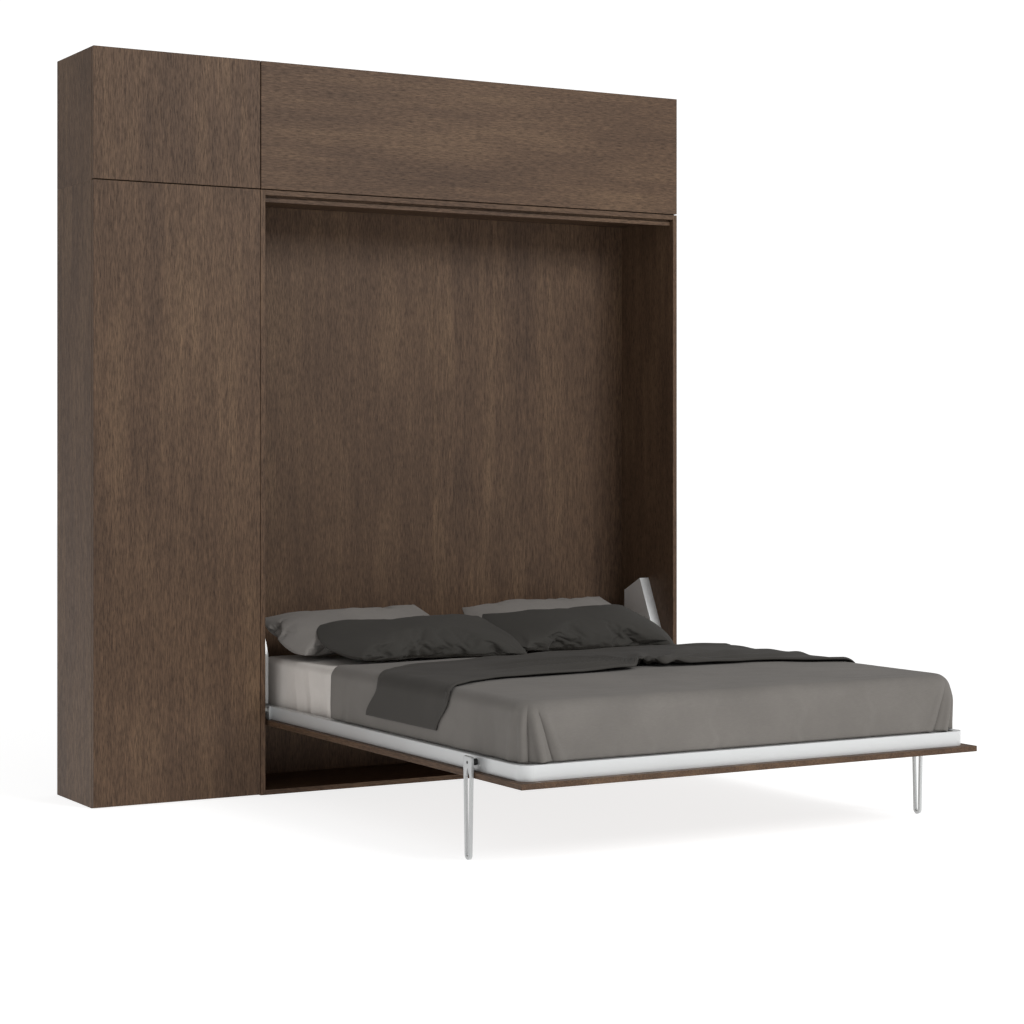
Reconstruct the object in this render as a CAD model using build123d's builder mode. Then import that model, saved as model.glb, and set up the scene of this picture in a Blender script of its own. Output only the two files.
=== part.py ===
from build123d import *
from math import hypot
import os

# A wall bed in a tall cabinet. Millimetres, +Z up, +X to the right, +Y towards the wall.
# The origin is on the floor under the middle of the whole object, with the bed folded down.
os.makedirs("parts", exist_ok=True)

# ---- Driving dimensions --------------------------------------------------
# Bedding
mattress_width = 1600
mattress_length = 1900
mattress_height = 180
mattress_corner = 60
mattress_edge = 22
mattress_head = 188           # from the cabinet's front to the mattress's head end
duvet_thickness = 11
duvet_head = 430              # duvet's head edge, in front of the cabinet
throw_thickness = 4
throw_near = 1190             # throw's near and far edges, in front of the cabinet
throw_far = 640
throw_hem_rise = 40.5          # throw's hem above the frame's top
duvet_hem_gap = 1.5
soft_gap = 0.3
# Bed frame and front
tube_width = 25
tube_height = 46.5
tube_wall = 2
frame_corner = 40
mattress_gap = 10             # mattress to the inside of the frame
frame_head_gap = 25           # frame's head end beyond the mattress
side_overhang = 20            # bed front beyond the frame at each side
foot_overhang = 31
side_gap = 14                 # bed front to the cabinet's side
slat_count = 14
slat_width = 60
slat_thickness = 8
slat_bow = 5
slat_end_margin = 90
# Bed pivot
pivot_height = 295
pivot_setback = 50            # behind the cabinet's front
pivot_radius = 8
bush_radius = 11
floor_gap = 8                 # closed bed front to the cabinet's floor board
top_gap = 3                   # closed bed front to the cabinet's top board
running_gap = 0.05
# Legs
leg_setback = 303             # leg pivot from the bed front's foot edge
leg_pivot_rise = 28            # leg pivot above the bed front's board
leg_pivot_radius = 5
leg_thickness = 10
leg_top_width = 50
leg_foot_width = 34
leg_bar = 11
leg_slot_drop = 18             # slot's top below the leg pivot
leg_side_gap = 1.5            # leg to the bed front's edge
# Cabinet
column_width = 618
depth = 378
upper_height = 456
panel = 18
back_panel = 8
door_gap = 4
door_floor_gap = 3
carcass_setback = 2           # door's inner face to the carcass's front edge
edge_round = 0.8
shelf_count = 5
shelf_setback = 12
pin_radius = 2.5
pin_length = 9
stop_rail_height = 22
stop_rail_depth = 18
stop_rebate = 8
# Mechanism covers and gas springs: places are behind the front and above the floor
cover_width = 42
cover_sheet = 2
cover_gap = 6.5                # cover's base above the frame's top
cover_front = 70
cover_back = 287
cover_knee = 197               # this and the next two heights are above the bed pivot
cover_peak = (175, 418)
cover_back_top = 365
plate_thickness = 4
plate_margin = 4
arm_thickness = 8
crank = 80                    # bed pivot to the gas spring's lower eye
plate_low_gap = 6              # plate's foot above the bed front's board
plate_reach = 24               # plate's foot in front of the pivot
plate_overlap = 20
bolt_places = [(110, 55), (250, 55), (250, 265), (150, 315)]
arm_end = 22
anchor = (200, 377)            # gas spring's upper eye, above the bed pivot
spring_offset = 13             # spring's centre line from the plate's face
shoulder = 2                   # pin shoulders and pin ends beyond what they carry
spring_radius = 10
spring_wall = 1.5
spring_length = 235
tube_plug = 6                  # solid end of a strut's tube beyond its eye
gland = 8                      # closed end of the tube round the rod
piston_start = 10
piston_length = 8
rod_radius = 5
eye_radius = 11
eye_thickness = 12
link_gap = 0.5                # open pivot: the eye's pin to the arm
bolt_radius = 4
bolt_head = 7
# Concealed hinges
cup_radius = 17.5
cup_depth = 12
cup_wall = 1.5
cup_edge = 22                 # cup's centre from the door's edge
hinge_end_gap = 100
# Flap stays
stay_gap = 30                 # stay's centre line from the cabinet's side
stay_bracket = 24
stay_flap_drop = 120          # flap pivot below the flap's top edge
stay_flap_pin = 30            # flap pivot behind the flap's inner face
stay_anchor = (330, 400)      # behind the front, below the cabinet's top
stay_radius = 8
stay_rod = 4
stay_tube = 240
# Wall fixings
fixing_radius = 4.25
fixing_spacing_x = 1500
fixing_spacing_z = 250
fixing_plate = 60
fixing_plate_thickness = 3

# ---- Worked-out places ---------------------------------------------------
frame_width = mattress_width + 2 * (mattress_gap + tube_width)
bed_front_width = frame_width + 2 * side_overhang
bay_width = bed_front_width + 2 * side_gap
bed_unit_width = bay_width + 2 * panel
width = column_width + bed_unit_width
frame_foot = mattress_length - mattress_head + mattress_gap + tube_width
open_length = frame_foot + foot_overhang
lower_height = pivot_height + pivot_setback + open_length + top_gap + panel
height = lower_height + upper_height

left = -width / 2
right = width / 2
joint = left + column_width
bay_left = joint + panel
bay_right = right - panel
bay_middle = (bay_left + bay_right) / 2
front = (open_length - depth) / 2
back = front + depth
door_back = front + panel
carcass_front = door_back + carcass_setback
back_inner = back - back_panel

pivot_y = front + pivot_setback
board_bottom = pivot_height - pivot_setback
board_top = board_bottom + panel
frame_top = board_top + tube_height
foot_edge = front - open_length
head_edge = pivot_y + pivot_height - panel - floor_gap
board_left = bay_left + side_gap
board_right = bay_right - side_gap
frame_left = board_left + side_overhang
frame_right = board_right - side_overhang
frame_foot_y = front - frame_foot
frame_head_y = front + mattress_head + frame_head_gap
slat_top = frame_top - 15
mattress_foot_y = front + mattress_head - mattress_length
mattress_head_y = front + mattress_head
mattress_top = slat_top + mattress_height
cover_base = frame_top + cover_gap
leg_pivot_height = board_top + leg_pivot_rise
leg_slot_top = leg_pivot_height - leg_slot_drop
throw_hem = frame_top + throw_hem_rise
leg_y = foot_edge + leg_setback


def save(piece, name):
    """Label a finished piece and write its STEP file."""
    piece.part.label = name
    export_step(piece.part, f"parts/{name}.step")


def boards(name, *corners, rounded=edge_round):
    """Flat boards in one node, each from its low to its high corner, with eased edges."""
    with BuildPart() as piece:
        for low, high in corners:
            with Locations(tuple((a + b) / 2 for a, b in zip(low, high))):
                Box(*[b - a for a, b in zip(low, high)])
        if rounded:
            fillet(piece.edges(), rounded)
    save(piece, name)


def both_sides(x0, x1):
    """The span x0..x1 and its mirror image about the bay's middle."""
    return (x0, x1), (2 * bay_middle - x1, 2 * bay_middle - x0)


# ---- Column: a tall cabinet with one door, and a short one on top --------
def carcass(name, x0, x1, z0, z1):
    """Two sides, a base, a top and an inset back; doors lie over its front."""
    boards(f"{name}_sides",
           ((x0, carcass_front, z0), (x0 + panel, back, z1)),
           ((x1 - panel, carcass_front, z0), (x1, back, z1)))
    boards(f"{name}_decks",
           ((x0 + panel, carcass_front, z0), (x1 - panel, back, z0 + panel)),
           ((x0 + panel, carcass_front, z1 - panel), (x1 - panel, back, z1)))


carcass("column", left, joint, 0, lower_height)
carcass("upper", left, joint, lower_height, height)
boards("column_back", ((left + panel, back_inner, panel),
                       (joint - panel, back, lower_height - panel)), rounded=0)
boards("upper_back", ((left + panel, back_inner, lower_height + panel),
                      (joint - panel, back, height - panel)), rounded=0)

shelf_pitch = (lower_height - panel) / (shelf_count + 1)
shelf_levels = [shelf_pitch * (n + 1) for n in range(shelf_count)]
boards("column_shelves",
       *[((left + panel, carcass_front + shelf_setback, z), (joint - panel, back_inner, z + panel))
         for z in shelf_levels])

with BuildPart() as shelf_pins:
    for z in shelf_levels:
        for y in (carcass_front + 3 * shelf_setback, back_inner - 3 * shelf_setback):
            for x in (left + panel + pin_length / 2, joint - panel - pin_length / 2):
                with Locations(Location((x, y, z - pin_radius), (0, 90, 0))):
                    Cylinder(pin_radius, pin_length)
save(shelf_pins, "shelf_pins")

# ---- Bed bay: sides, floor, top, two back boards and the stop rail -------
boards("bay_side_left", ((joint, front, 0), (bay_left, back, lower_height)))
boards("bay_side_right", ((bay_right, front, 0), (right, back, lower_height)))
boards("bay_floor", ((bay_left, front, 0), (bay_right, back, panel)))
boards("bay_top", ((bay_left, front, lower_height - panel), (bay_right, back, lower_height)))
boards("bay_back_left", ((bay_left, back_inner, panel), (bay_middle, back, lower_height - panel)))
boards("bay_back_right", ((bay_middle, back_inner, panel), (bay_right, back, lower_height - panel)))

stop_top = lower_height - panel
stop_bottom = stop_top - stop_rail_height
with BuildPart() as bay_stop_rail:
    with BuildSketch(Plane.YZ.offset(bay_left)):
        with BuildLine():
            Polyline((carcass_front, stop_bottom), (carcass_front + stop_rail_depth, stop_bottom),
                     (carcass_front + stop_rail_depth, stop_top),
                     (carcass_front + stop_rebate, stop_top),
                     (carcass_front + stop_rebate, stop_top - stop_rebate),
                     (carcass_front, stop_top - stop_rebate), close=True)
        make_face()
    extrude(amount=bay_width)
save(bay_stop_rail, "bay_stop_rail")

# ---- Overhead cabinet above the bed --------------------------------------
carcass("overhead", joint, right, lower_height, height)
boards("overhead_divider", ((bay_middle - panel / 2, carcass_front, lower_height + panel),
                            (bay_middle + panel / 2, back_inner, height - panel)))

fixing_z = (lower_height + height) / 2
fixing_spots = [(bay_middle + sx * fixing_spacing_x / 2, fixing_z + sz * fixing_spacing_z / 2)
                for sx in (-1, 1) for sz in (-1, 1)]


def fixing_holes():
    """Through holes along Y at the wall fixings, cut from the piece being built."""
    for x, z in fixing_spots:
        with Locations(Location((x, back, z), (90, 0, 0))):
            Cylinder(fixing_radius, 2 * depth, mode=Mode.SUBTRACT)


with BuildPart() as overhead_back:
    with Locations((bay_middle, back - back_panel / 2, (lower_height + height) / 2)):
        Box(bay_width, back_panel, upper_height - 2 * panel)
    fixing_holes()
save(overhead_back, "overhead_back")

with BuildPart() as wall_plates:
    for x, z in fixing_spots:
        with Locations((x, back_inner - fixing_plate_thickness / 2, z)):
            Box(fixing_plate, fixing_plate_thickness, fixing_plate)
    fillet(wall_plates.edges().filter_by(Axis.Y), 6)
    fixing_holes()
save(wall_plates, "wall_plates")


# ---- Doors and flap, each lying over its carcass -------------------------
def hinged_front(name, x0, x1, z0, z1, cups):
    """A door board with a round pocket in its back for each hinge cup, and its cups."""
    with BuildPart() as door:
        with Locations(((x0 + x1) / 2, front + panel / 2, (z0 + z1) / 2)):
            Box(x1 - x0, panel, z1 - z0)
        fillet(door.edges(), edge_round)
        for x, z in cups:
            with Locations(Location((x, door_back - cup_depth / 2, z), (90, 0, 0))):
                Cylinder(cup_radius, cup_depth, mode=Mode.SUBTRACT)
    save(door, name)
    with BuildPart() as door_cups:
        for x, z in cups:
            with Locations(Location((x, door_back - cup_depth / 2, z), (90, 0, 0))):
                Cylinder(cup_radius, cup_depth)
            with Locations(Location((x, door_back - (cup_depth - cup_wall) / 2, z), (90, 0, 0))):
                Cylinder(cup_radius - cup_wall, cup_depth - cup_wall, mode=Mode.SUBTRACT)
    save(door_cups, f"{name}_cups")


hinge_x = left + cup_edge
column_hinge_levels = [shelf_pitch * (n + 0.5) + panel / 2 for n in range(shelf_count + 1)]
upper_hinge_levels = [lower_height + hinge_end_gap, height - hinge_end_gap]
flap_hinge_xs = [bay_left + hinge_end_gap, bay_middle - 2 * hinge_end_gap,
                 bay_middle + 2 * hinge_end_gap, bay_right - hinge_end_gap]
flap_hinge_z = height - cup_edge

hinged_front("column_door", left, joint - door_gap / 2, door_floor_gap, lower_height,
             [(hinge_x, z) for z in column_hinge_levels])
hinged_front("upper_door", left, joint - door_gap / 2, lower_height + door_gap, height,
             [(hinge_x, z) for z in upper_hinge_levels])
hinged_front("overhead_flap", joint + door_gap / 2, right, lower_height + door_gap, height,
             [(x, flap_hinge_z) for x in flap_hinge_xs])

# Each hinge arm is bolted inside the carcass and its nose reaches into the cup.
arm_height = 12
arm_width = 14
arm_length = 60
nose_thickness = 4
nose_tip = door_back - cup_depth + cup_wall + soft_gap
arm_front = carcass_front + carcass_setback
arm_middle = arm_front + arm_length / 2
nose_middle = (nose_tip + arm_front) / 2
with BuildPart() as door_hinge_arms:
    for z in column_hinge_levels + upper_hinge_levels:
        with Locations((left + panel + arm_height / 2, arm_middle, z)):
            Box(arm_height, arm_length, arm_width)
        with Locations((hinge_x, nose_middle, z)):
            Box(nose_thickness, arm_front - nose_tip, arm_width - 2)
save(door_hinge_arms, "door_hinge_arms")

with BuildPart() as flap_hinge_arms:
    for x in flap_hinge_xs:
        with Locations((x, arm_middle, height - panel - arm_height / 2)):
            Box(arm_width, arm_length, arm_height)
        with Locations((x, nose_middle, flap_hinge_z)):
            Box(arm_width - 2, arm_front - nose_tip, nose_thickness)
save(flap_hinge_arms, "flap_hinge_arms")

# ---- Bed front: two boards side by side ----------------------------------
boards("front_board_left", ((board_left, foot_edge, board_bottom), (bay_middle, head_edge, board_top)))
boards("front_board_right", ((bay_middle, foot_edge, board_bottom), (board_right, head_edge, board_top)))


# ---- Bed frame: a welded ring of rectangular tube on the bed front -------
def tube(name, x0, x1, y0, y1, along):
    """A straight rectangular tube lying on the bed front, open at both ends."""
    inner_x = x1 - x0 if along == Axis.X else x1 - x0 - 2 * tube_wall
    inner_y = y1 - y0 if along == Axis.Y else y1 - y0 - 2 * tube_wall
    with BuildPart() as piece:
        with Locations(((x0 + x1) / 2, (y0 + y1) / 2, board_top + tube_height / 2)):
            Box(x1 - x0, y1 - y0, tube_height)
            fillet(piece.edges().filter_by(along), tube_wall)
            Box(inner_x, inner_y, tube_height - 2 * tube_wall, mode=Mode.SUBTRACT)
    save(piece, name)


side_foot_y = frame_foot_y + frame_corner
tube("side_rail_left", frame_left, frame_left + tube_width, side_foot_y, frame_head_y, Axis.Y)
tube("side_rail_right", frame_right - tube_width, frame_right, side_foot_y, frame_head_y, Axis.Y)
tube("head_rail", frame_left + tube_width, frame_right - tube_width,
     frame_head_y - tube_width, frame_head_y, Axis.X)



def frame_ring(inset):
    """A closed ring with rounded corners, the frame's plan, its walls drawn in by the inset."""
    outer = (frame_width - 2 * inset, frame_head_y - frame_foot_y - 2 * inset)
    hollow = 2 * (tube_width - 2 * inset)
    RectangleRounded(*outer, frame_corner - inset)
    RectangleRounded(outer[0] - hollow, outer[1] - hollow, frame_corner - tube_width + inset,
                     mode=Mode.SUBTRACT)


frame_centre = (bay_middle, (frame_foot_y + frame_head_y) / 2)
with BuildPart() as foot_rail:
    with BuildSketch(Plane((*frame_centre, board_top))):
        frame_ring(0)
    extrude(amount=tube_height)
    with BuildSketch(Plane((*frame_centre, board_top + tube_wall))):
        frame_ring(tube_wall)
    extrude(amount=tube_height - 2 * tube_wall, mode=Mode.SUBTRACT)
    split(bisect_by=Plane((0, side_foot_y, 0), z_dir=(0, -1, 0)), keep=Keep.TOP)
save(foot_rail, "foot_rail")

# Bowed slats lie across the centre beam, their ends held in caps on the side rails.
slat_left = frame_left + tube_width + 2
slat_right = frame_right - tube_width - 2
slat_first = mattress_foot_y + slat_end_margin
slat_pitch = (mattress_length - 2 * slat_end_margin) / (slat_count - 1)
slat_ys = [slat_first + n * slat_pitch for n in range(slat_count)]
with BuildPart() as slats:
    for y in slat_ys:
        with BuildSketch(Plane((0, y + slat_width / 2, 0), x_dir=(1, 0, 0), z_dir=(0, -1, 0))):
            with BuildLine():
                ends = [(slat_left, slat_top - slat_bow), (slat_right, slat_top - slat_bow)]
                low_ends = [(x, z - slat_thickness) for x, z in ends]
                ThreePointArc(ends[0], (bay_middle, slat_top), ends[1])
                ThreePointArc(low_ends[0], (bay_middle, slat_top - slat_thickness), low_ends[1])
                Line(ends[0], low_ends[0])
                Line(ends[1], low_ends[1])
            make_face()
        extrude(amount=slat_width)
save(slats, "slats")

cap_length = 40
cap_wall = 4
slat_clearance = 0.3
cap_bottom = slat_top - slat_bow - slat_thickness - cap_wall
cap_top = slat_top - 0.5
with BuildPart() as slat_caps:
    for y in slat_ys:
        for x0, x1 in both_sides(frame_left + tube_width, frame_left + tube_width + cap_length):
            with Locations(((x0 + x1) / 2, y, (cap_bottom + cap_top) / 2)):
                Box(x1 - x0, slat_width + 2 * cap_wall, cap_top - cap_bottom)
    for y in slat_ys:
        slot_bottom = cap_bottom + cap_wall - slat_clearance
        slot_top = slot_bottom + slat_thickness + 4 * slat_clearance
        with Locations((bay_middle, y, (slot_bottom + slot_top) / 2)):
            Box(slat_right - slat_left + 2 * slat_clearance, slat_width + 2 * slat_clearance,
                slot_top - slot_bottom, mode=Mode.SUBTRACT)
save(slat_caps, "slat_caps")

beam_width = 40
boards("centre_beam", ((bay_middle - beam_width / 2, frame_foot_y + tube_width, board_top),
                       (bay_middle + beam_width / 2, frame_head_y - tube_width,
                        slat_top - slat_thickness - soft_gap)))


# ---- Pivots --------------------------------------------------------------
def cross(x0, x1, y, z, radius, mode=Mode.ADD):
    """A round bar along X between x0 and x1."""
    with Locations(Location(((x0 + x1) / 2, y, z), (0, 90, 0))):
        Cylinder(radius, x1 - x0, mode=mode)


anchor_y, anchor_z = front + anchor[0], pivot_height + anchor[1]
spring_x = bay_left + plate_thickness + spring_offset
with BuildPart() as pivot_arms:
    for x0, x1 in both_sides(frame_left - arm_thickness, frame_left):
        y0, y1 = pivot_y - arm_end, pivot_y + crank + arm_end
        with Locations(((x0 + x1) / 2, (y0 + y1) / 2, board_top + tube_height / 2)):
            Box(x1 - x0, y1 - y0, tube_height)
        cross(x0, x1, pivot_y, pivot_height, bush_radius, Mode.SUBTRACT)
save(pivot_arms, "pivot_arms")

with BuildPart() as pivot_bushes:
    for x0, x1 in both_sides(frame_left - arm_thickness, frame_left):
        cross(x0, x1, pivot_y, pivot_height, bush_radius)
        cross(x0, x1, pivot_y, pivot_height, pivot_radius + running_gap, Mode.SUBTRACT)
save(pivot_bushes, "pivot_bushes")

plate_face = bay_left + plate_thickness
stay_y, stay_z = front + stay_anchor[0], height - stay_anchor[1]
stay_x = bay_left + stay_gap
with BuildPart() as pivot_pins:
    for x0, x1 in both_sides(plate_face, frame_left - link_gap):
        cross(x0, x1, pivot_y, pivot_height, pivot_radius)
    for x0, x1 in both_sides(plate_face, frame_left - arm_thickness - link_gap):
        cross(x0, x1, pivot_y, pivot_height, bush_radius + shoulder)
    for x0, x1 in both_sides(plate_face, spring_x + eye_thickness / 2 + shoulder):
        cross(x0, x1, anchor_y, anchor_z, rod_radius)
    for x0, x1 in both_sides(bay_left, stay_x + stay_rod):
        cross(x0, x1, stay_y, stay_z, stay_rod)
save(pivot_pins, "pivot_pins")

# ---- Mechanism plates, their bolts and the folded steel covers -----------
knee_z = pivot_height + cover_knee
peak_y, peak_z = front + cover_peak[0], pivot_height + cover_peak[1]
back_top_z = pivot_height + cover_back_top
cover_outline = [(front + cover_front, cover_base), (front + cover_front, knee_z), (peak_y, peak_z),
                 (front + cover_back, back_top_z), (front + cover_back, cover_base)]
bolt_spots = [(front + y, pivot_height + z) for y, z in bolt_places]
plate_low = board_top + plate_low_gap
plate_front = front + cover_front + plate_margin
plate_back = front + cover_back - plate_margin
with BuildPart() as mech_plates:
    with BuildSketch(Plane.YZ.offset(bay_left)):
        with BuildLine():
            Polyline(*cover_outline, close=True)
        make_face()
        offset(amount=-plate_margin)
        with BuildLine():
            Polyline((pivot_y - plate_reach, plate_low), (plate_back, plate_low),
                     (plate_back, cover_base + plate_overlap),
                     (plate_front, cover_base + plate_overlap),
                     (plate_front, cover_base - plate_margin),
                     (pivot_y - plate_reach, cover_base - plate_margin), close=True)
        make_face()
        with Locations(*bolt_spots):
            Circle(bolt_radius, mode=Mode.SUBTRACT)
    extrude(amount=plate_thickness)
    mirror(about=Plane.YZ.offset(bay_middle))
save(mech_plates, "mech_plates")

with BuildPart() as mech_bolts:
    for x0, x1 in both_sides(bay_left, plate_face):
        for y, z in bolt_spots:
            cross(x0, x1, y, z, bolt_radius)
    for x0, x1 in both_sides(plate_face, plate_face + bolt_radius):
        for y, z in bolt_spots:
            cross(x0, x1, y, z, bolt_head)
save(mech_bolts, "mech_bolts")


def cover(name, face, outward):
    """A folded sheet cover: an outer face and a flange all round but along its base."""
    with BuildPart() as piece:
        with BuildSketch(Plane.YZ.offset(face)):
            with BuildLine():
                Polyline(*cover_outline, close=True)
            make_face()
        extrude(amount=outward * cover_width)
        inside_front = front + cover_front + cover_sheet
        inside_back = front + cover_back - cover_sheet
        inside = [(inside_front, cover_base - 1), (inside_front, knee_z - cover_sheet / 4),
                  (peak_y + cover_sheet / 3, peak_z - 2 * cover_sheet),
                  (inside_back, back_top_z - cover_sheet), (inside_back, cover_base - 1)]
        with BuildSketch(Plane.YZ.offset(face)):
            with BuildLine():
                Polyline(*inside, close=True)
            make_face()
        extrude(amount=outward * (cover_width - cover_sheet), mode=Mode.SUBTRACT)
    save(piece, name)


cover("mech_cover_left", bay_left, 1)
cover("mech_cover_right", bay_right, -1)


# ---- Gas springs and flap stays ------------------------------------------
def strut(names, x, upper, lower, radius, tube_end, rod, eye, thickness, stub):
    """A pair of telescopic struts: tubes hung from the upper eye, rods ending at the lower eye.

    Points are (y, z); the rod's eye carries a stub pin towards x = stub.
    """
    reach = hypot(lower[0] - upper[0], lower[1] - upper[1])
    along = (0, (lower[0] - upper[0]) / reach, (lower[1] - upper[1]) / reach)

    def bar(side, start, stop, bar_radius, mode=Mode.ADD):
        origin = (side, upper[0] + along[1] * start, upper[1] + along[2] * start)
        with BuildSketch(Plane(origin, x_dir=(1, 0, 0), z_dir=along)) as section:
            Circle(bar_radius)
        extrude(section.sketch, amount=stop - start, mode=mode)

    bore = radius - spring_wall
    places = [(x, stub), (2 * bay_middle - x, 2 * bay_middle - stub)]
    with BuildPart() as tubes:
        for side, _ in places:
            bar(side, 0, tube_end, radius)
            cross(side - thickness / 2, side + thickness / 2, *upper, eye)
            bar(side, eye + tube_plug, tube_end - gland, bore, Mode.SUBTRACT)
            bar(side, tube_end - gland - 1, tube_end + 1, rod + 2 * running_gap, Mode.SUBTRACT)
            cross(side - 2 * radius, side + 2 * radius, *upper, rod + running_gap, Mode.SUBTRACT)
    save(tubes, names[0])
    with BuildPart() as rods:
        for side, end in places:
            bar(side, eye + piston_start, reach - eye / 2, rod)
            bar(side, eye + piston_start, eye + piston_start + piston_length, bore - 2 * running_gap)
            cross(side - thickness / 2, side + thickness / 2, *lower, eye)
            cross(min(side, end), max(side, end), *lower, rod - 1)
    save(rods, names[1])


strut(("gas_cylinders", "gas_rods"), spring_x, (anchor_y, anchor_z),
      (pivot_y + crank, pivot_height), spring_radius, spring_length, rod_radius,
      eye_radius, eye_thickness, frame_left - arm_thickness - link_gap)

flap_pin_y = door_back + stay_flap_pin
flap_pin_z = height - stay_flap_drop
bracket_x = stay_x + stay_rod + link_gap + shoulder
strut(("stay_cylinders", "stay_rods"), stay_x, (stay_y, stay_z), (flap_pin_y, flap_pin_z),
      stay_radius, stay_tube, stay_rod, stay_radius, eye_thickness - 1, bracket_x - link_gap)

bracket_sheet = 3
with BuildPart() as flap_brackets:
    for x0, x1 in both_sides(bracket_x, bracket_x + bracket_sheet):
        y1 = flap_pin_y + stay_radius
        with Locations(((x0 + x1) / 2, (door_back + y1) / 2, flap_pin_z)):
            Box(x1 - x0, y1 - door_back, stay_bracket)
    for x0, x1 in both_sides(bracket_x, bracket_x + stay_bracket):
        with Locations(((x0 + x1) / 2, door_back + bracket_sheet / 2, flap_pin_z)):
            Box(x1 - x0, bracket_sheet, 2 * stay_bracket)
save(flap_brackets, "flap_brackets")

# ---- Hairpin legs --------------------------------------------------------
leg_left_x = board_left - leg_side_gap - leg_thickness
leg_top = frame_top
foot_round = leg_foot_width / 2
slot_round = foot_round - leg_bar
slot_shoulder = leg_slot_top - leg_top_width / 2


def leg(name, x0):
    """A hairpin leg: a tapered bar bent round at its foot, closed by a plate at its top."""
    with BuildPart() as piece:
        with BuildSketch(Plane.YZ.offset(x0)):
            with Locations((leg_y, foot_round)):
                Circle(foot_round)
            with Locations((leg_y, leg_top - leg_top_width / 4)):
                RectangleRounded(leg_top_width, leg_top_width / 2, 6)
            make_hull()
        extrude(amount=leg_thickness)
        with BuildSketch(Plane.YZ.offset(x0)):
            with Locations((leg_y, foot_round)):
                Circle(slot_round)
            with Locations((leg_y, slot_shoulder)):
                Rectangle(leg_top_width - 2 * leg_bar - 4, 2)
            with Locations((leg_y, leg_slot_top)):
                Circle(1)
            make_hull()
        extrude(amount=leg_thickness, mode=Mode.SUBTRACT)
        fillet(piece.faces().filter_by(Axis.X).edges(), 2)
        cross(x0, x0 + leg_thickness, leg_y, leg_pivot_height,
              leg_pivot_radius + running_gap, Mode.SUBTRACT)
    save(piece, name)


leg("leg_left", leg_left_x)
leg("leg_right", 2 * bay_middle - leg_left_x - leg_thickness)

with BuildPart() as leg_pivots:
    for x0, x1 in both_sides(leg_left_x + 0.5, frame_left):
        cross(x0, x1, leg_y, leg_pivot_height, leg_pivot_radius)
    for x0, x1 in both_sides(leg_left_x + leg_thickness + link_gap, frame_left):
        cross(x0, x1, leg_y, leg_pivot_height, 2 * leg_pivot_radius)
save(leg_pivots, "leg_pivots")


# ---- Bedding: plain closed solids ----------------------------------------
def block_over_mattress(skin, low, mode=Mode.ADD):
    """The mattress's outline from the level low to its top, grown by the skin all round."""
    with BuildSketch(Plane((bay_middle, (mattress_foot_y + mattress_head_y) / 2, low))) as plan:
        RectangleRounded(mattress_width + 2 * skin, mattress_length + 2 * skin,
                         mattress_corner + skin)
    extrude(plan.sketch, amount=mattress_top + skin - low, mode=mode)


with BuildPart() as mattress:
    block_over_mattress(0, slat_top)
    fillet(mattress.faces().filter_by(Axis.Z).edges(), mattress_edge)
save(mattress, "mattress")

with BuildPart() as mattress_space:
    block_over_mattress(soft_gap, slat_top)
    fillet(mattress_space.faces().sort_by(Axis.Z)[-1].edges(), mattress_edge)

duvet_skin = soft_gap + duvet_thickness
with BuildPart() as duvet:
    block_over_mattress(duvet_skin, frame_top + duvet_hem_gap)
    fillet(duvet.faces().sort_by(Axis.Z)[-1].edges(), mattress_edge + duvet_thickness)
    add(mattress_space.part, mode=Mode.SUBTRACT)
    split(bisect_by=Plane((0, front - duvet_head, 0), z_dir=(0, -1, 0)), keep=Keep.TOP)
save(duvet, "duvet")

with BuildPart() as duvet_space:
    block_over_mattress(duvet_skin + soft_gap, slat_top)
    fillet(duvet_space.faces().sort_by(Axis.Z)[-1].edges(), mattress_edge + duvet_thickness)

throw_skin = duvet_skin + soft_gap + throw_thickness
with BuildPart() as throw:
    block_over_mattress(throw_skin, throw_hem)
    fillet(throw.faces().sort_by(Axis.Z)[-1].edges(),
           mattress_edge + duvet_thickness + throw_thickness)
    add(duvet_space.part, mode=Mode.SUBTRACT)
    split(bisect_by=Plane((0, front - throw_far, 0), z_dir=(0, -1, 0)), keep=Keep.TOP)
    split(bisect_by=Plane((0, front - throw_near, 0), z_dir=(0, 1, 0)), keep=Keep.TOP)
save(throw, "throw")


def pillow(name, x0, x1, profile, rounding):
    """A slumped pillow: its side outline, (behind the front, above the mattress), carried across."""
    with BuildPart() as piece:
        with BuildSketch(Plane.YZ.offset(x0)) as outline:
            with BuildLine():
                Polyline(*[(front + y, mattress_top + z) for y, z in profile], close=True)
            make_face()
            fillet(outline.vertices(), rounding)
        extrude(amount=x1 - x0)
        fillet(piece.faces().filter_by(Axis.X).edges(), rounding / 2)
    save(piece, name)


back_profile = [(-160, 0.5), (60, 0.5), (182, 78), (162, 172), (-184, 84)]
front_profile = [(-370, 0.5), (-204, 0.5), (-196, 92), (-58, 128), (-80, 160), (-200, 150), (-345, 62)]
back_width = 680
back_spread = 810               # from one back pillow to the next
back_left = bay_left + 54
front_left = bay_left + 134
front_width = 755
front_width_right = 696
pillow_gap = 15
front_right = front_left + front_width + pillow_gap
pillow("pillow_back_left", back_left, back_left + back_width, back_profile, 16)
pillow("pillow_back_right", back_left + back_spread, back_left + back_spread + back_width,
       back_profile, 16)
pillow("pillow_front_left", front_left, front_left + front_width, front_profile, 12)
pillow("pillow_front_right", front_right, front_right + front_width_right, front_profile, 12)
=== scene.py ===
import math
from collections import namedtuple

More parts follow.
